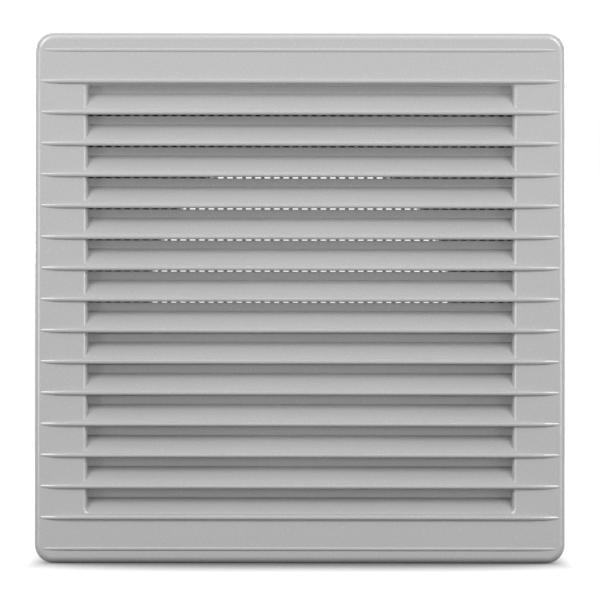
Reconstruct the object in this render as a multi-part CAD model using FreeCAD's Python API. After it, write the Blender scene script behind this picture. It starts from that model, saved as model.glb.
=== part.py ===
import FreeCAD, Part
import math
import os

# Square ventilation grille with fixed louvres, an insect screen and a round duct spigot.
# Frame: X runs across the face, Z up, and the louvred face looks along -Y.
# The origin is on the spigot's axis, in the wall plane that the rear of the grille lies on.
# All sizes are in millimetres.

# Border and skirt
FACE_SIZE = 250.0
FACE_CORNER_R = 8.6
FACE_EDGE_R = 3.0
FACE_WALL = 2.2
SKIRT_WALL = 2.0
BODY_DEPTH = 22.0

# Louvred opening
BORDER_WIDTH = 24.8
OPENING_CORNER_R = 1.5
OPENING_EDGE_R = 2.8
COLLAR_WALL = 2.0
SEAT_WALL = 1.6

# Ridges, counted from the top: the middle one lies on the axis
RIDGE_COUNT = 17
RIDGE_MARGIN = 7.4
RIDGE_RISE = 1.4
OUTER_RIDGE_RISE = 0.5
RIDGE_ROOT = 0.6
RIDGE_ABOVE = 0.2
RIDGE_BELOW = 1.8
RIDGE_UPPER_R = 0.7
RIDGE_LOWER_R = 1.1
RIDGE_END_INSET = 2.25
RIDGE_RUNOUT = 14.0
RIDGE_END_RISE = 0.15
RUNOUT_STEPS = 2
UPPER_END_FLATS = 2
LOWER_END_FLATS = 3

# Louvre blades, each hung on one ridge
BLADE_LAND = 0.95
BLADE_WALL = 1.6
BLADE_GAP = 0.35
SCREEN_GAP = 0.8
UPSTAND_HEIGHT = 3.8

# Stiffening ribs in the hollow border
RIB_WALL = 1.4
RIB_DROP = 1.0
RIBS_PER_SIDE = 4

# Insect screen
SCREEN_WALL = 1.2
SCREEN_ROWS = 1
SCREEN_PITCH = 4.43
SCREEN_HOLE = 2.7
SCREEN_BORDER = 2.5

# Rear plate, retaining ring and spigot for a 150 mm duct
PLATE_WALL = 2.0
RING_WALL = 1.8
SPIGOT_R = 74.0
SPIGOT_WALL = 2.2
SPIGOT_LENGTH = 40.0
SPIGOT_CHAMFER = 1.2

# Holes for the wall screws, in the plate's four corners
FIXING_INSET = 11.5
FIXING_HOLE_R = 2.3
FIXING_BOSS_R = 4.8
FIXING_BOSS_HEIGHT = 3.0

# Snap tabs and the windows they catch in
TAB_WIDTH = 11.0
TAB_WALL = 1.4
TAB_HEIGHT = 8.6
NIB_HEIGHT = 2.6
NIB_REACH = 1.5
TAB_SPREAD = 0.65

# Fits
SCREEN_CLEARANCE = 0.2
RING_CLEARANCE = 0.2
PLATE_CLEARANCE = 0.2
NIB_CLEARANCE = 0.3

# Derived
FACE_HALF = FACE_SIZE / 2
OPENING_SIZE = FACE_SIZE - 2 * BORDER_WIDTH
OPENING_HALF = OPENING_SIZE / 2
COLLAR_HALF = OPENING_HALF + COLLAR_WALL
SKIRT_INNER_HALF = FACE_HALF - SKIRT_WALL
FACE_Y = -BODY_DEPTH
RIDGE_PITCH = (FACE_SIZE - 2 * RIDGE_MARGIN) / (RIDGE_COUNT - 1)
UPSTAND_TOP = RIDGE_PITCH - RIDGE_BELOW - BLADE_GAP
BLADE_RUN = UPSTAND_TOP - UPSTAND_HEIGHT - RIDGE_ABOVE - BLADE_LAND
SEAT_DEPTH = BLADE_RUN + BLADE_WALL + SCREEN_GAP
RIB_PITCH = OPENING_SIZE / RIBS_PER_SIDE
TAB_PITCH = TAB_SPREAD * OPENING_SIZE
FIXING_HALF_PITCH = FACE_HALF - FIXING_INSET
SEAT_Y = FACE_Y + SEAT_DEPTH
SCREEN_REAR_Y = SEAT_Y + SCREEN_WALL
SCREEN_COLUMNS = math.ceil(OPENING_SIZE / SCREEN_PITCH)
SCREEN_FIELD_HALF = ((SCREEN_COLUMNS - 1) * SCREEN_PITCH + SCREEN_HOLE) / 2
SCREEN_HALF = SCREEN_FIELD_HALF + SCREEN_BORDER
POCKET_HALF = SCREEN_HALF + SCREEN_CLEARANCE
RIM_HALF = POCKET_HALF + SEAT_WALL
RING_HALF = SCREEN_HALF - RING_CLEARANCE
PLATE_HALF = SKIRT_INNER_HALF - PLATE_CLEARANCE


def box(x0, x1, y0, y1, z0, z1):
    """Axis-parallel block between two corners."""
    return Part.makeBox(x1 - x0, y1 - y0, z1 - z0, FreeCAD.Vector(x0, y0, z0))


def square_block(half, y0, y1, corner_r):
    """Square block about the Y axis with rounded corners."""
    block = box(-half, half, y0, y1, -half, half)
    corners = [edge for edge in block.Edges if runs_along_y(edge)]
    return block.makeFillet(corner_r, corners)


def square_tube(outer_half, inner_half, y0, y1):
    """Square tube about the Y axis, with sharp corners."""
    outer = box(-outer_half, outer_half, y0, y1, -outer_half, outer_half)
    return outer.cut(box(-inner_half, inner_half, y0 - 1, y1 + 1, -inner_half, inner_half))


def runs_along_y(edge):
    """True for a straight edge parallel to Y."""
    low, high = edge.BoundBox, edge.Length
    return abs(low.YLength - high) < 1e-6


def edges_in_plane(shape, y, half):
    """Edges in the plane at y that lie no further out than half."""
    found = []
    for edge in shape.Edges:
        size = edge.BoundBox
        flat = size.YLength < 1e-6 and abs(size.YMin - y) < 1e-6
        reach = max(abs(size.XMin), abs(size.XMax), abs(size.ZMin), abs(size.ZMax))
        if flat and reach < half + 1e-6:
            found.append(edge)
    return found


def section_along_x(points, x0, x1):
    """Prism with a closed (y, z) section, drawn from x0 to x1."""
    corners = [FreeCAD.Vector(x0, y, z) for y, z in points]
    wire = Part.makePolygon(corners + corners[:1])
    return Part.Face(wire).extrude(FreeCAD.Vector(x1 - x0, 0, 0))


def ridge_z(index):
    """Height of a ridge's pitch line, with ridge 0 at the top."""
    return (RIDGE_COUNT // 2 - index) * RIDGE_PITCH


def border():
    """Face plate, skirt and opening wall with the rounded outer and inner edges."""
    shell = square_block(FACE_HALF, FACE_Y, 0.0, FACE_CORNER_R)
    outer_edge = edges_in_plane(shell, FACE_Y, FACE_HALF)
    shell = shell.makeFillet(FACE_EDGE_R, outer_edge)
    inner_r = FACE_CORNER_R - SKIRT_WALL
    hollow = square_block(SKIRT_INNER_HALF, FACE_Y + FACE_WALL, 1.0, inner_r)
    shell = shell.cut(hollow)
    collar = box(-COLLAR_HALF, COLLAR_HALF, FACE_Y + 1.0, SEAT_Y, -COLLAR_HALF, COLLAR_HALF)
    shell = shell.fuse(collar)
    opening = square_block(OPENING_HALF, FACE_Y - 1.0, 1.0, OPENING_CORNER_R)
    shell = shell.cut(opening).removeSplitter()
    inner_edge = edges_in_plane(shell, FACE_Y, OPENING_HALF)
    return shell.makeFillet(OPENING_EDGE_R, inner_edge)


def screen_seat():
    """Ledge and locating rim behind the opening wall, which the screen drops into."""
    ledge_y = SEAT_Y - SEAT_WALL
    rim_y = SCREEN_REAR_Y + SEAT_WALL
    ledge = square_tube(RIM_HALF, COLLAR_HALF - 0.5, ledge_y, SEAT_Y)
    rim = square_tube(RIM_HALF, POCKET_HALF, ledge_y, rim_y)
    return ledge.fuse(rim)


def line(a, b):
    """Straight edge between two (x, y, z) points."""
    return Part.LineSegment(FreeCAD.Vector(*a), FreeCAD.Vector(*b)).toShape()


def arc(a, middle, b):
    """Circular edge through three (x, y, z) points."""
    return Part.Arc(FreeCAD.Vector(*a), FreeCAD.Vector(*middle), FreeCAD.Vector(*b)).toShape()


def ridge_front(index):
    """Plane of a ridge's front: the outermost two stand lower."""
    outer = index in (0, RIDGE_COUNT - 1)
    return FACE_Y - (OUTER_RIDGE_RISE if outer else RIDGE_RISE)


def ridge_bar(index, reach):
    """Straight part of a ridge, with its two front edges rounded, from -reach to reach."""
    front = ridge_front(index)
    back = front + RIDGE_RISE + RIDGE_ROOT
    top = ridge_z(index) + RIDGE_ABOVE
    low = ridge_z(index) - RIDGE_BELOW
    upper, lower = RIDGE_UPPER_R, RIDGE_LOWER_R
    upper_cut = upper * (1 - math.sqrt(0.5))
    lower_cut = lower * (1 - math.sqrt(0.5))
    x = -reach
    edges = [
        line((x, back, low), (x, back, top)),
        line((x, back, top), (x, front + upper, top)),
        arc((x, front + upper, top), (x, front + upper_cut, top - upper_cut), (x, front, top - upper)),
        line((x, front, top - upper), (x, front, low + lower)),
        arc((x, front, low + lower), (x, front + lower_cut, low + lower_cut), (x, front + lower, low)),
        line((x, front + lower, low), (x, back, low)),
    ]
    return Part.Face(Part.Wire(edges)).extrude(FreeCAD.Vector(2 * reach, 0, 0))


def ridge_end_section(index, x, sunk):
    """The same section in the plane at x, sunk by a depth, with its roundings drawn in flats."""
    front = ridge_front(index) + sunk
    back = front + RIDGE_RISE + RIDGE_ROOT
    top = ridge_z(index) + RIDGE_ABOVE
    low = ridge_z(index) - RIDGE_BELOW
    points = [(back, low), (back, top)]
    for flat in range(UPPER_END_FLATS + 1):
        angle = math.radians(90 * flat / UPPER_END_FLATS)
        away = RIDGE_UPPER_R * (1 - math.cos(angle))
        points.append((front + RIDGE_UPPER_R * (1 - math.sin(angle)), top - away))
    for flat in range(LOWER_END_FLATS + 1):
        angle = math.radians(90 * flat / LOWER_END_FLATS)
        away = RIDGE_LOWER_R * (1 - math.sin(angle))
        points.append((front + RIDGE_LOWER_R * (1 - math.cos(angle)), low + away))
    corners = [FreeCAD.Vector(x, y, z) for y, z in points]
    return Part.Face(Part.makePolygon(corners + corners[:1]))


def runout_places(index):
    """Points on the arc along which a ridge's end sinks: (distance across, depth sunk)."""
    start = FACE_HALF - RIDGE_END_INSET - RIDGE_RUNOUT
    rise = FACE_Y - ridge_front(index)
    radius = (RIDGE_RUNOUT**2 + rise**2) / (2 * rise)
    turn = math.acos(1 - (rise - RIDGE_END_RISE) / radius)
    angles = [turn * step / RUNOUT_STEPS for step in range(RUNOUT_STEPS + 1)]
    return [(start + radius * math.sin(angle), radius * (1 - math.cos(angle))) for angle in angles]


def ridge(index):
    """One ridge: a straight bar whose ends slope down until they have all but sunk into the border."""
    places = runout_places(index)
    ends = []
    for (x0, sunk0), (x1, sunk1) in zip(places, places[1:]):
        right = ridge_end_section(index, x0, sunk0).extrude(FreeCAD.Vector(x1 - x0, sunk1 - sunk0, 0))
        left = ridge_end_section(index, -x0, sunk0).extrude(FreeCAD.Vector(x0 - x1, sunk1 - sunk0, 0))
        ends += [right, left]
    return ridge_bar(index, places[0][0]).fuse(ends)


def blade_ridges():
    """Ridges that carry a blade: from just under the opening's top edge to its bottom edge."""
    low = -OPENING_HALF - RIDGE_PITCH / 2
    high = OPENING_HALF - RIDGE_PITCH / 2
    return [index for index in range(RIDGE_COUNT) if low < ridge_z(index) < high]


def blade(index):
    """One fixed louvre: a land behind the ridge, a 45 degree slope and an upstand that turns rain back."""
    z = ridge_z(index)
    land = z + RIDGE_ABOVE + BLADE_LAND
    crease = land + BLADE_RUN
    under = land - BLADE_WALL * math.sqrt(2)
    rear = FACE_Y + BLADE_RUN + BLADE_WALL
    points = [
        (FACE_Y, z),
        (FACE_Y, land),
        (FACE_Y + BLADE_RUN, crease),
        (FACE_Y + BLADE_RUN, z + UPSTAND_TOP),
        (rear, z + UPSTAND_TOP),
        (rear, under + BLADE_RUN + BLADE_WALL),
        (FACE_Y + RIDGE_ROOT, under + RIDGE_ROOT),
        (FACE_Y + RIDGE_ROOT, z),
    ]
    reach = COLLAR_HALF - 0.1
    whole = section_along_x(points, -reach, reach)
    return whole.common(box(-reach, reach, FACE_Y, 0.0, -reach, reach))


def border_ribs():
    """Thin stiffening ribs across the hollow border, between the opening wall and the skirt."""
    ribs = []
    y0 = FACE_Y + FACE_WALL - 0.5
    y1 = SEAT_Y - RIB_DROP
    inner = COLLAR_HALF - 0.5
    outer = SKIRT_INNER_HALF + 0.5
    for number in range(RIBS_PER_SIDE):
        place = (number - (RIBS_PER_SIDE - 1) / 2) * RIB_PITCH
        low = place - RIB_WALL / 2
        high = place + RIB_WALL / 2
        for side in (-1, 1):
            near, far = sorted((side * inner, side * outer))
            ribs.append(box(near, far, y0, y1, low, high))
            ribs.append(box(low, high, y0, y1, near, far))
    return ribs


def tab_places():
    """Side (-1 or 1) and height of each snap tab."""
    return [(side, z) for side in (-1, 1) for z in (-TAB_PITCH / 2, TAB_PITCH / 2)]


def nib_top_y():
    """Front end of the snap nibs."""
    return -PLATE_WALL - TAB_HEIGHT


def snap_windows():
    """Cutters for the windows in the skirt that the nibs catch in."""
    cutters = []
    y0 = nib_top_y() - NIB_CLEARANCE
    y1 = nib_top_y() + NIB_HEIGHT + NIB_CLEARANCE
    half = TAB_WIDTH / 2 + NIB_CLEARANCE
    for side, z in tab_places():
        near, far = sorted((side * (SKIRT_INNER_HALF - 1), side * (FACE_HALF + 1)))
        cutters.append(box(near, far, y0, y1, z - half, z + half))
    return cutters


def front_grille():
    """The moulded front: border, skirt, opening wall, louvres, ridges and screen seat."""
    blades = [blade(index) for index in blade_ridges()]
    bars = [ridge(index) for index in range(RIDGE_COUNT)]
    added = [screen_seat()] + blades + border_ribs() + bars
    grille = border().fuse(added)
    for cutter in snap_windows():
        grille = grille.cut(cutter)
    return grille.removeSplitter()


def insect_screen():
    """Moulded grid with a solid border."""
    screen = square_block(SCREEN_HALF, SEAT_Y, SCREEN_REAR_Y, OPENING_CORNER_R)
    bar = SCREEN_PITCH - SCREEN_HOLE
    row_pitch = (2 * SCREEN_FIELD_HALF + bar) / SCREEN_ROWS
    half_height = (row_pitch - bar) / 2
    holes = []
    for column in range(SCREEN_COLUMNS):
        x = (column - (SCREEN_COLUMNS - 1) / 2) * SCREEN_PITCH
        for row in range(SCREEN_ROWS):
            z = (row - (SCREEN_ROWS - 1) / 2) * row_pitch
            low, high = x - SCREEN_HOLE / 2, x + SCREEN_HOLE / 2
            holes.append(box(low, high, SEAT_Y - 1, SCREEN_REAR_Y + 1, z - half_height, z + half_height))
    return screen.cut(Part.makeCompound(holes))


def turned(points):
    """Solid of revolution about the spigot's axis, from (radius, y) points."""
    corners = [FreeCAD.Vector(radius, y, 0) for radius, y in points]
    wire = Part.makePolygon(corners + corners[:1])
    return Part.Face(wire).revolve(FreeCAD.Vector(0, 0, 0), FreeCAD.Vector(0, 1, 0), 360)


def snap_tab(side, z):
    """Springy tongue on the plate's edge with a wedge nib that catches in the skirt."""
    outer = side * PLATE_HALF
    inner = side * (PLATE_HALF - TAB_WALL)
    tip = side * (PLATE_HALF + NIB_REACH)
    near, far = sorted((inner, outer))
    half = TAB_WIDTH / 2
    top = nib_top_y()
    tongue = box(near, far, top, -PLATE_WALL + 0.5, z - half, z + half)
    corners = [(inner, top), (outer, top), (tip, top + NIB_HEIGHT), (inner, top + NIB_HEIGHT)]
    points = [FreeCAD.Vector(x, y, z - half) for x, y in corners]
    wedge = Part.Face(Part.makePolygon(points + points[:1])).extrude(FreeCAD.Vector(0, 0, TAB_WIDTH))
    return tongue.fuse(wedge)


def fixing_cylinders(radius, y0, y1):
    """A cylinder along Y at each of the four wall screws."""
    length = y1 - y0
    along = FreeCAD.Vector(0, 1, 0)
    pitch = FIXING_HALF_PITCH
    corners = [(x, z) for x in (-pitch, pitch) for z in (-pitch, pitch)]
    return [Part.makeCylinder(radius, length, FreeCAD.Vector(x, y0, z), along) for x, z in corners]


def spigot_plate():
    """Rear plate with the retaining ring, snap tabs, screw bosses and the round spigot."""
    plate_r = FACE_CORNER_R - SKIRT_WALL - PLATE_CLEARANCE
    plate = square_block(PLATE_HALF, -PLATE_WALL, 0.0, plate_r)
    ring = square_tube(RING_HALF, RING_HALF - RING_WALL, SCREEN_REAR_Y, -PLATE_WALL + 0.5)
    bore_r = SPIGOT_R - SPIGOT_WALL
    spigot = turned(
        [
            (bore_r - 1.0, -PLATE_WALL),
            (SPIGOT_R, -PLATE_WALL),
            (SPIGOT_R, SPIGOT_LENGTH - SPIGOT_CHAMFER),
            (SPIGOT_R - SPIGOT_CHAMFER, SPIGOT_LENGTH),
            (bore_r - 1.0, SPIGOT_LENGTH),
        ]
    )
    tabs = [snap_tab(side, z) for side, z in tab_places()]
    boss_top = -PLATE_WALL - FIXING_BOSS_HEIGHT
    bosses = fixing_cylinders(FIXING_BOSS_R, boss_top, -PLATE_WALL + 0.5)
    body = plate.fuse([ring, spigot] + tabs + bosses)
    base = FreeCAD.Vector(0, -PLATE_WALL - 1, 0)
    bore = Part.makeCylinder(bore_r, PLATE_WALL + SPIGOT_LENGTH + 2, base, FreeCAD.Vector(0, 1, 0))
    for hole in [bore] + fixing_cylinders(FIXING_HOLE_R, boss_top - 1, 1.0):
        body = body.cut(hole)
    return body.removeSplitter()


def save(name, shape):
    """Write one piece and print its size, after checking that it is a single valid solid."""
    solids = shape.Solids
    if len(solids) != 1 or not solids[0].isValid():
        raise ValueError(f"{name}: {len(solids)} solids, valid {shape.isValid()}")
    solids[0].exportStep(f"parts/{name}.step")
    size = solids[0].BoundBox
    print(name, round(solids[0].Volume / 1000, 2), "cm3", size)


def main():
    """Build and write the three pieces."""
    os.makedirs("parts", exist_ok=True)
    save("front_grille", front_grille())
    save("insect_screen", insect_screen())
    save("spigot_plate", spigot_plate())


main()
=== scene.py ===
"""Looks of a square ventilation grille: finishes, the fine insect screen, studio and camera.

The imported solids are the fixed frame. Every length is in metres in that frame: X runs across
the face, Z up, and the louvred face looks along -Y.
"""

import logging
import math
from dataclasses import dataclass, field
from enum import Enum
from typing import Any

import bmesh
import bpy
from mathutils import Matrix, Vector


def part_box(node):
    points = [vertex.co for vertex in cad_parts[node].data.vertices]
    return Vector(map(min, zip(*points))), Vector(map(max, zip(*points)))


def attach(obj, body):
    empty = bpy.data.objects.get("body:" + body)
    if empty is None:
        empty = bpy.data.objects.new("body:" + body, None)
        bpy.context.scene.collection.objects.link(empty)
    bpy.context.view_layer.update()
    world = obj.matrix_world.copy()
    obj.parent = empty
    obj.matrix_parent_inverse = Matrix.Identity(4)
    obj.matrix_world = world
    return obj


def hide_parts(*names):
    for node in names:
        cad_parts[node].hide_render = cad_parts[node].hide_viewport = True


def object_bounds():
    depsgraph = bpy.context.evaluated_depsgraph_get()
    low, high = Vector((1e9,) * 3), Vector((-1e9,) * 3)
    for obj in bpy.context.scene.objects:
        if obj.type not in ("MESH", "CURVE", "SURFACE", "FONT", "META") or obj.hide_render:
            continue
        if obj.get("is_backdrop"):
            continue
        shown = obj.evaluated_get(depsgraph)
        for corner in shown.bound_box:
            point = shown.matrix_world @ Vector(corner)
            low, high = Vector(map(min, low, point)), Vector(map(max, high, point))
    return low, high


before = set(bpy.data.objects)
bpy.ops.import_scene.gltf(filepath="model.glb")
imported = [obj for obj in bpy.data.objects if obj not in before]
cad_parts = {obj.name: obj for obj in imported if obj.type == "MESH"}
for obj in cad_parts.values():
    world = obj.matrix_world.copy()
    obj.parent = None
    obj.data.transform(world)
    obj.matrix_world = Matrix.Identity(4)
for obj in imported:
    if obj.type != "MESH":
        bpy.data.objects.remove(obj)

MM = 0.001
FLOW_DETAIL = 3.0
FLOW_CONTRAST = 0.55
GRAIN_DETAIL = 2.0
SHADE_SAMPLES = 8
FLOOR_SAMPLES = 16

log = logging.getLogger("grille")


class Node(Enum):
    """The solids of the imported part."""

    FRONT = "front_grille"
    SCREEN = "insect_screen"
    SPIGOT = "spigot_plate"


def linear(hex_colour: str) -> tuple[float, float, float, float]:
    """Turn an sRGB hex colour into the linear values that shaders take.

    Args:
        hex_colour: Six hex digits, with or without a leading hash.

    Returns:
        Red, green, blue and an alpha of 1.
    """
    digits = hex_colour.lstrip("#")
    levels = [int(digits[i : i + 2], 16) / 255 for i in (0, 2, 4)]
    red, green, blue = (
        v / 12.92 if v <= 0.04045 else ((v + 0.055) / 1.055) ** 2.4 for v in levels
    )
    return red, green, blue, 1.0


def add_node(
    tree: bpy.types.NodeTree, kind: str, inputs: dict[str, Any] | None = None, **settings: Any
) -> bpy.types.Node:
    """Add a node with its settings, values and links.

    Args:
        tree: The node tree that gets the node.
        kind: The node's class name.
        inputs: Value, or output socket to link, for each input by name or number.
        **settings: Attributes of the node itself.

    Returns:
        The new node.
    """
    node = tree.nodes.new(kind)
    for name, value in settings.items():
        setattr(node, name, value)
    for key, value in (inputs or {}).items():
        if isinstance(value, bpy.types.NodeSocket):
            tree.links.new(value, node.inputs[key])
        else:
            node.inputs[key].default_value = value
    return node


@dataclass(frozen=True)
class MouldedPlastic:
    """Injection-moulded plastic, satin on the face and matt on the net and the rear.

    Attributes:
        name: The material's name.
        dark: sRGB hex colour of the melt's darker flow streaks.
        pale: sRGB hex colour of the paler ones.
        roughness: Middle roughness of the surface.
        grain_mm: Width of the texture that the spark-eroded mould leaves. A real one is
            usually finer than a pixel of the picture, so this one is drawn coarser.
        grain_height_mm: Height of that texture.
        flow_mm: Size of the faint cloudy streaks of the melt's flow.
        ior: Refractive index, 1.54 for ABS.
        gloss: How strongly the moulded skin mirrors lamps, 0.5 for a bare dielectric.
        roughness_spread: How far the roughness wanders to either side of its middle.
        grain_strength: How much of the texture's height the light shows.
        painted_shade_mm: How far off a wall still counts as shading the surface, for the shade
            painted into its colour, 0 for no painted shade.
        shade: sRGB hex colour in full painted shade.
        painted_shade_full: Share of open sky at which the painted shade is full.
        painted_shade_none: Share of open sky at which there is no painted shade.
    """

    name: str
    dark: str
    pale: str
    roughness: float = 0.26
    grain_mm: float = 0.7
    grain_height_mm: float = 0.012
    flow_mm: float = 60.0
    ior: float = 1.54
    gloss: float = 0.9
    roughness_spread: float = 0.05
    grain_strength: float = 0.5
    painted_shade_mm: float = 0.0
    shade: str = "#0A0A0A"
    painted_shade_full: float = 0.35
    painted_shade_none: float = 0.5

    def build(self) -> bpy.types.Material:
        """Make the node material.

        Returns:
            The finished material.
        """
        material = bpy.data.materials.new(self.name)
        material.use_nodes = True
        tree = material.node_tree
        tree.nodes.clear()
        place = add_node(tree, "ShaderNodeTexCoord").outputs["Object"]
        flow = add_node(
            tree,
            "ShaderNodeTexNoise",
            {
                "Vector": place,
                "Scale": 1 / (self.flow_mm * MM),
                "Detail": FLOW_DETAIL,
                "Roughness": FLOW_CONTRAST,
            },
        )
        colour = add_node(
            tree,
            "ShaderNodeMix",
            {"Factor": flow.outputs["Fac"], "A": linear(self.dark), "B": linear(self.pale)},
            data_type="RGBA",
        )
        grain = add_node(
            tree,
            "ShaderNodeTexNoise",
            {"Vector": place, "Scale": 1 / (self.grain_mm * MM), "Detail": GRAIN_DETAIL},
        )
        rough = add_node(
            tree,
            "ShaderNodeMapRange",
            {
                "Value": grain.outputs["Fac"],
                "To Min": self.roughness - self.roughness_spread,
                "To Max": self.roughness + self.roughness_spread,
            },
        )
        relief = add_node(
            tree,
            "ShaderNodeBump",
            {
                "Height": grain.outputs["Fac"],
                "Strength": self.grain_strength,
                "Distance": self.grain_height_mm * MM,
            },
        )
        shader = add_node(
            tree,
            "ShaderNodeBsdfPrincipled",
            {
                "Base Color": self.with_painted_shade(tree, colour.outputs["Result"]),
                "Roughness": rough.outputs["Result"],
                "IOR": self.ior,
                "Specular IOR Level": self.gloss,
                "Normal": relief.outputs["Normal"],
            },
        )
        add_node(tree, "ShaderNodeOutputMaterial", {"Surface": shader.outputs["BSDF"]})
        return material

    def with_painted_shade(
        self, tree: bpy.types.NodeTree, colour: bpy.types.NodeSocket
    ) -> bpy.types.NodeSocket:
        """Paint shade into the colour: darken it where walls close the surface in.

        Args:
            tree: The material's node tree.
            colour: The plain colour.

        Returns:
            The colour as it is drawn, with the painted shade.
        """
        if not self.painted_shade_mm:
            return colour
        # Painted shade: the colour goes towards the shade colour where nearby walls close the
        # surface in.
        nearness = add_node(
            tree,
            "ShaderNodeAmbientOcclusion",
            {"Distance": self.painted_shade_mm * MM},
            samples=SHADE_SAMPLES,
        )
        openness = add_node(
            tree,
            "ShaderNodeMapRange",
            {
                "Value": nearness.outputs["AO"],
                "From Min": self.painted_shade_full,
                "From Max": self.painted_shade_none,
            },
        )
        return add_node(
            tree,
            "ShaderNodeMix",
            {"Factor": openness.outputs["Result"], "A": linear(self.shade), "B": colour},
            data_type="RGBA",
        ).outputs["Result"]


# ABS from a finely eroded mould has a satin skin: a soft broad shine on the flats and bright
# lines on the roundings. The gloss is above plain plastic's, to match those lines in the photo.
FACE_PLASTIC = MouldedPlastic("abs_moulded_satin_light_grey", dark="#BEBEBE", pale="#C2C2C2")
# Polypropylene leaves the mould duller, so the net's thin bars stay matt beside the face. The
# colour is paler than the record's: painted light, so that the bars look as bright as in
# the photo.
SCREEN_PLASTIC = MouldedPlastic(
    "polypropylene_moulded_net_grey",
    dark="#C2C2C2",
    pale="#C6C6C6",
    roughness=0.5,
    ior=1.49,
    gloss=0.5,
)
# ABS on the side that nobody sees, left matt as it comes from the mould. Its colour carries
# painted shade, near black where walls close it in, so the chamber behind the net is drawn
# dark. The shade is set to match the photo: its holes are black, and plain grey plastic behind
# them came out mid grey.
REAR_PLASTIC = MouldedPlastic(
    "abs_moulded_matt_light_grey",
    dark="#B8B8B8",
    pale="#BDBDBD",
    roughness=0.5,
    gloss=0.5,
    painted_shade_mm=20.0,
)


@dataclass
class Moulding:
    """A moulding whose solid already has the real shape, so it only gets its finish.

    Attributes:
        node: The solid.
        finish: The plastic that it is moulded in.
    """

    node: Node
    finish: MouldedPlastic

    def dress(self) -> bpy.types.Object:
        """Give the solid its material.

        Returns:
            The solid's object.
        """
        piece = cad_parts[self.node.value]
        piece.data.materials.clear()
        piece.data.materials.append(self.finish.build())
        return piece


@dataclass
class InsectScreen:
    """Moulded net behind the louvres, a full grid of holes where the solid has tall slots.

    Attributes:
        columns: Holes across.
        rows: Holes up.
        column_pitch: Distance between the columns' centres.
        row_pitch: Distance between the rows' centres. It is a little under a third of the
            louvres' pitch, so that the gaps above the middle show holes and most others bars.
        hole_width: Width of a hole.
        hole_height: Height of a hole.
        drop: How far the rows' middle lies below the axis.
        corner: How far a hole's corners are cut across.
        finish: The plastic that it is moulded in.
    """

    columns: int = 46
    rows: int = 43
    column_pitch: float = 4.43 * MM
    row_pitch: float = 4.7735 * MM
    hole_width: float = 2.7 * MM
    hole_height: float = 3.17 * MM
    drop: float = 0.617 * MM
    corner: float = 0.4 * MM
    finish: MouldedPlastic = field(default_factory=lambda: SCREEN_PLASTIC)

    @staticmethod
    def edges(
        low: float, high: float, count: int, pitch: float, width: float, shift: float
    ) -> list[float]:
        """Places where the net's bars begin and end along one axis.

        Args:
            low: The net's lower end.
            high: The net's upper end.
            count: Number of holes.
            pitch: Distance between the holes' centres.
            width: Size of a hole.
            shift: Place of the middle of the holes.

        Returns:
            The places in rising order, from one end of the net to the other.
        """
        places = [low]
        for number in range(count):
            centre = (number - (count - 1) / 2) * pitch + shift
            places += [centre - width / 2, centre + width / 2]
        return places + [high]

    def build(self) -> bpy.types.Object:
        """Make the net from a grid whose hole faces are taken out.

        Returns:
            The net's object.
        """
        low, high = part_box(Node.SCREEN.value)
        across = self.edges(low.x, high.x, self.columns, self.column_pitch, self.hole_width, 0.0)
        up = self.edges(low.z, high.z, self.rows, self.row_pitch, self.hole_height, -self.drop)
        net = bmesh.new()
        # The grid runs from -1 to 1 both ways, and its lines are then moved to the bars' edges.
        bmesh.ops.create_grid(net, x_segments=len(across) - 1, y_segments=len(up) - 1, size=1.0)
        for vert in net.verts:
            column = round((vert.co.x + 1) / 2 * (len(across) - 1))
            row = round((vert.co.y + 1) / 2 * (len(up) - 1))
            vert.co = Vector((across[column], low.y, up[row]))
        self.open_holes(net, across, up)
        bmesh.ops.recalc_face_normals(net, faces=net.faces)
        bmesh.ops.solidify(net, geom=net.faces, thickness=high.y - low.y)
        return self.finished(net, low.y)

    def open_holes(self, net: bmesh.types.BMesh, across: list[float], up: list[float]) -> None:
        """Take the hole faces out and cut across their corners.

        Args:
            net: The flat grid.
            across: Bar edges along X.
            up: Bar edges along Z.
        """
        holes = []
        for face in net.faces:
            centre = face.calc_center_median()
            column = sum(1 for place in across if place < centre.x) - 1
            row = sum(1 for place in up if place < centre.z) - 1
            # Odd steps lie in a hole, even ones on a bar.
            if column % 2 and row % 2:
                holes.append(face)
        hole_corners = list({vert for face in holes for vert in face.verts})
        bmesh.ops.delete(net, geom=holes, context="FACES_ONLY")
        bmesh.ops.bevel(
            net,
            geom=hole_corners,
            offset=self.corner,
            offset_type="OFFSET",
            affect="VERTICES",
            segments=1,
            profile=0.5,
            material=-1,
        )

    def finished(self, net: bmesh.types.BMesh, front: float) -> bpy.types.Object:
        """Turn the mesh into the piece that stands for the coarse solid.

        Args:
            net: The thick net.
            front: Where the net's front plane belongs. The thickening may have moved it.

        Returns:
            The net's object.
        """
        least = min(vert.co.y for vert in net.verts)
        bmesh.ops.translate(net, verts=net.verts, vec=Vector((0, front - least, 0)))
        bmesh.ops.recalc_face_normals(net, faces=net.faces)
        mesh = bpy.data.meshes.new("fine_insect_screen")
        net.to_mesh(mesh)
        net.free()
        piece = bpy.data.objects.new("fine_insect_screen", mesh)
        bpy.context.scene.collection.objects.link(piece)
        mesh.materials.append(self.finish.build())
        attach(piece, "root")
        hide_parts(Node.SCREEN.value)
        return piece


def seen_directly(tree: bpy.types.NodeTree) -> bpy.types.NodeSocket:
    """Add the nodes that tell a look, a reflection or a view through glass from plain light.

    Args:
        tree: The node tree that gets the nodes.

    Returns:
        A socket that is 1 for such a ray and 0 for one that only carries light.
    """
    ray = add_node(tree, "ShaderNodeLightPath")
    camera_or_glossy = add_node(
        tree,
        "ShaderNodeMath",
        {0: ray.outputs["Is Camera Ray"], 1: ray.outputs["Is Glossy Ray"]},
        operation="MAXIMUM",
    )
    either = add_node(
        tree,
        "ShaderNodeMath",
        {0: camera_or_glossy.outputs["Value"], 1: ray.outputs["Is Transmission Ray"]},
        operation="MAXIMUM",
    )
    return either.outputs["Value"]


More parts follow.
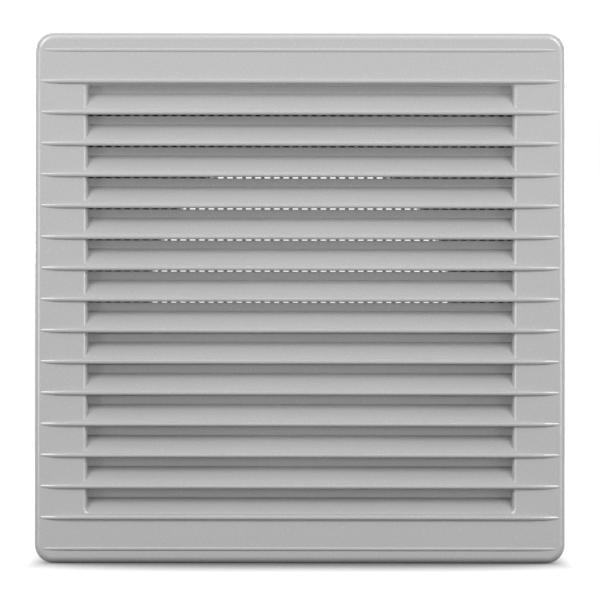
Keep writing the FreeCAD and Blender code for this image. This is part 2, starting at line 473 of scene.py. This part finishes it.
@dataclass
class Softbox:
    """A soft rectangular lamp that points at the grille.

    Attributes:
        name: The lamp's name.
        place: Its centre.
        width: Its width.
        height: Its height.
        watts: Its power.
        target: The point that it faces.
    """

    name: str
    place: tuple[float, float, float]
    width: float
    height: float
    watts: float
    target: tuple[float, float, float] = (0.0, 0.0, 0.0)

    def build(self) -> bpy.types.Object:
        """Add the lamp to the scene.

        Returns:
            The lamp's object.
        """
        lamp = bpy.data.lights.new(self.name, "AREA")
        lamp.shape = "RECTANGLE"
        lamp.size = self.width
        lamp.size_y = self.height
        lamp.energy = self.watts
        piece = bpy.data.objects.new(self.name, lamp)
        aim = Vector(self.target) - Vector(self.place)
        piece.rotation_euler = aim.to_track_quat("-Z", "Y").to_euler()
        piece.location = self.place
        bpy.context.scene.collection.objects.link(piece)
        return piece


def mirrored_pair(
    name: str, place: tuple[float, float, float], width: float, height: float, watts: float
) -> tuple[Softbox, Softbox]:
    """Set one lamp at the right and its mirror image at the left.

    Args:
        name: The pair's name, to which the side is added.
        place: The right lamp's centre.
        width: The width of each.
        height: The height of each.
        watts: The power of each.

    Returns:
        The left lamp and the right one.
    """
    across, depth, up = place
    left = Softbox(f"{name}_left", (-across, depth, up), width, height, watts)
    right = Softbox(f"{name}_right", place, width, height, watts)
    return left, right


@dataclass
class Studio:
    """White floor with a painted contact shadow, white surroundings and soft lamps.

    Attributes:
        floor_size: Side of the square floor.
        floor_bounce: sRGB hex colour that the floor throws its light back with.
        shadow_reach: How far from the grille the floor's painted soft contact shadow ends.
        shadow_curve: How much faster than the sky's share the floor darkens near the grille.
        shadow_darkest: Share of open sky at the foot of the face, which hides half of it.
        shadow_clear: Share of open sky from which the floor is white.
        shadow_least: Openness that is left at the foot, before the curve.
        shadow_half: Where the painted contact shadow begins to end, from the middle.
        shadow_fade: Over what length it ends.
        world_strength: Strength of the even light from all round.
        lamps: One lamp above, then pairs in front, high and low, and level with the edges. The
            rear pair isn't from the photo, and only makes the back readable.
    """

    floor_size: float = 12.0
    floor_bounce: str = "#707070"
    shadow_reach: float = 125 * MM
    shadow_curve: float = 1.3
    shadow_darkest: float = 0.5
    shadow_clear: float = 0.9
    shadow_least: float = 0.07
    shadow_half: float = 110 * MM
    shadow_fade: float = 22 * MM
    world_strength: float = 0.05
    lamps: tuple[Softbox, ...] = (
        Softbox("softbox_above", (0.0, -0.36, 0.71), 0.75, 0.38, 1.25),
        *mirrored_pair("high_softbox", (0.52, -0.74, 0.56), 0.36, 0.46, 4.05),
        *mirrored_pair("low_softbox", (1.0, -0.83, 0.03), 0.3, 0.3, 2.2),
        *mirrored_pair("edge_softbox", (1.3, -0.05, 0.13), 0.4, 0.5, 1.0),
        *mirrored_pair("rear_softbox", (0.62, 1.4, 0.25), 0.6, 0.4, 7.0),
    )

    def build(self) -> None:
        """Build the floor, the surroundings and the lamps."""
        bpy.context.scene.view_settings.view_transform = "Standard"
        self.build_floor()
        self.build_world()
        for lamp in self.lamps:
            lamp.build()

    def build_floor(self) -> None:
        """Lay the floor that the grille stands on."""
        low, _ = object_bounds()
        floor = bmesh.new()
        bmesh.ops.create_grid(floor, x_segments=1, y_segments=1, size=self.floor_size / 2)
        bmesh.ops.translate(floor, verts=floor.verts, vec=Vector((0, 0, low[2])))
        mesh = bpy.data.meshes.new("studio_floor")
        floor.to_mesh(mesh)
        floor.free()
        piece = bpy.data.objects.new("studio_floor", mesh)
        bpy.context.scene.collection.objects.link(piece)
        mesh.materials.append(self.floor_material())
        piece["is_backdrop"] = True

    def floor_material(self) -> bpy.types.Material:
        """White paper that looks white, keeps the lamps' shadows and throws little light back.

        Returns:
            The material: a grey that takes the lamps' light and shadows, and where it is seen
            a white lift on it, which fades towards the grille's foot. That fade is a painted
            contact shadow, drawn from how near the grille is.
        """
        material = bpy.data.materials.new("matt_white_paper")
        material.use_nodes = True
        tree = material.node_tree
        tree.nodes.clear()
        paper = add_node(tree, "ShaderNodeBsdfDiffuse", {"Color": linear(self.floor_bounce)})
        # Painted contact shadow: the white lift is dimmed where the grille is near.
        nearness = add_node(
            tree,
            "ShaderNodeAmbientOcclusion",
            {"Distance": self.shadow_reach},
            samples=FLOOR_SAMPLES,
        )
        openness = add_node(
            tree,
            "ShaderNodeMapRange",
            {
                "Value": nearness.outputs["AO"],
                "From Min": self.shadow_darkest,
                "From Max": self.shadow_clear,
                "To Min": self.shadow_least,
            },
        )
        shade = add_node(
            tree,
            "ShaderNodeMath",
            {0: self.past_the_ends(tree, openness.outputs["Result"]), 1: self.shadow_curve},
            operation="POWER",
        )
        lift = add_node(
            tree,
            "ShaderNodeMath",
            {0: shade.outputs["Value"], 1: seen_directly(tree)},
            operation="MULTIPLY",
        )
        white = add_node(
            tree,
            "ShaderNodeEmission",
            {"Color": linear("#FFFFFF"), "Strength": lift.outputs["Value"]},
        )
        both = add_node(
            tree,
            "ShaderNodeAddShader",
            {0: paper.outputs["BSDF"], 1: white.outputs["Emission"]},
        )
        add_node(tree, "ShaderNodeOutputMaterial", {"Surface": both.outputs["Shader"]})
        return material

    def past_the_ends(
        self, tree: bpy.types.NodeTree, openness: bpy.types.NodeSocket
    ) -> bpy.types.NodeSocket:
        """End the painted contact shadow beside the grille's rounded corners.

        Args:
            tree: The floor's node tree.
            openness: How much of the sky each point sees.

        Returns:
            The same, but fully open past the grille's ends.
        """
        place = add_node(tree, "ShaderNodeTexCoord").outputs["Object"]
        across = add_node(tree, "ShaderNodeSeparateXYZ", {"Vector": place}).outputs["X"]
        off_middle = add_node(tree, "ShaderNodeMath", {0: across}, operation="ABSOLUTE")
        clear = add_node(
            tree,
            "ShaderNodeMapRange",
            {
                "Value": off_middle.outputs["Value"],
                "From Min": self.shadow_half,
                "From Max": self.shadow_half + self.shadow_fade,
            },
            interpolation_type="SMOOTHSTEP",
        )
        return add_node(
            tree,
            "ShaderNodeMath",
            {0: clear.outputs["Result"], 1: openness},
            operation="MAXIMUM",
        ).outputs["Value"]

    def build_world(self) -> None:
        """Even light from all round, and plain white where it is seen."""
        world = bpy.data.worlds.new("white_surroundings")
        bpy.context.scene.world = world
        world.use_nodes = True
        tree = world.node_tree
        tree.nodes.clear()
        strength = add_node(
            tree,
            "ShaderNodeMapRange",
            {"Value": seen_directly(tree), "To Min": self.world_strength, "To Max": 1.0},
        )
        light = add_node(
            tree,
            "ShaderNodeBackground",
            {"Color": linear("#FFFFFF"), "Strength": strength.outputs["Result"]},
        )
        add_node(tree, "ShaderNodeOutputWorld", {"Surface": light.outputs["Background"]})


@dataclass
class PhotoCamera:
    """Long lens straight in front of the grille, a little below its middle.

    Attributes:
        distance: From the face to the camera.
        height: The lens's height against the spigot's axis.
        view_width: Width that the picture takes in at the face.
        roll: Turn of the camera about its own axis, in degrees.
        aim: Height of the point on the face that the lens looks at.
        sensor: Width of the sensor in millimetres.
        nearest: Distance from which things are drawn.
        farthest: Distance up to which they are.
    """

    distance: float = 1.9
    height: float = -15 * MM
    view_width: float = 282.6 * MM
    roll: float = 0.07
    aim: float = 0.25 * MM
    sensor: float = 36.0
    nearest: float = 0.05
    farthest: float = 50.0

    def build(self) -> bpy.types.Object:
        """Add the camera and make it the scene's own.

        Returns:
            The camera's object.
        """
        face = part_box(Node.FRONT.value)[0].y
        lens = bpy.data.cameras.new("photo_camera")
        lens.sensor_width = self.sensor
        lens.lens = self.sensor * self.distance / self.view_width
        lens.clip_start = self.nearest
        lens.clip_end = self.farthest
        piece = bpy.data.objects.new("photo_camera", lens)
        piece.location = (0.0, face - self.distance, self.height)
        pitch = math.atan2(self.aim - self.height, self.distance)
        turn = Matrix.Rotation(math.pi / 2 + pitch, 4, "X")
        roll = Matrix.Rotation(math.radians(self.roll), 4, "Z")
        piece.rotation_euler = (turn @ roll).to_euler()
        bpy.context.scene.collection.objects.link(piece)
        bpy.context.scene.camera = piece
        return piece


def main() -> None:
    """Dress the solids, add the fine screen, and set up the studio and the camera."""
    logging.basicConfig(level=logging.INFO, format="%(name)s: %(message)s")
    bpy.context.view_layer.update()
    for part in (Moulding(Node.FRONT, FACE_PLASTIC), Moulding(Node.SPIGOT, REAR_PLASTIC)):
        piece = part.dress()
        log.info("%s: %d faces", piece.name, len(piece.data.polygons))
    screen = InsectScreen().build()
    log.info("%s: %d faces", screen.name, len(screen.data.polygons))
    Studio().build()
    PhotoCamera().build()


if __name__ == "__main__":
    main()
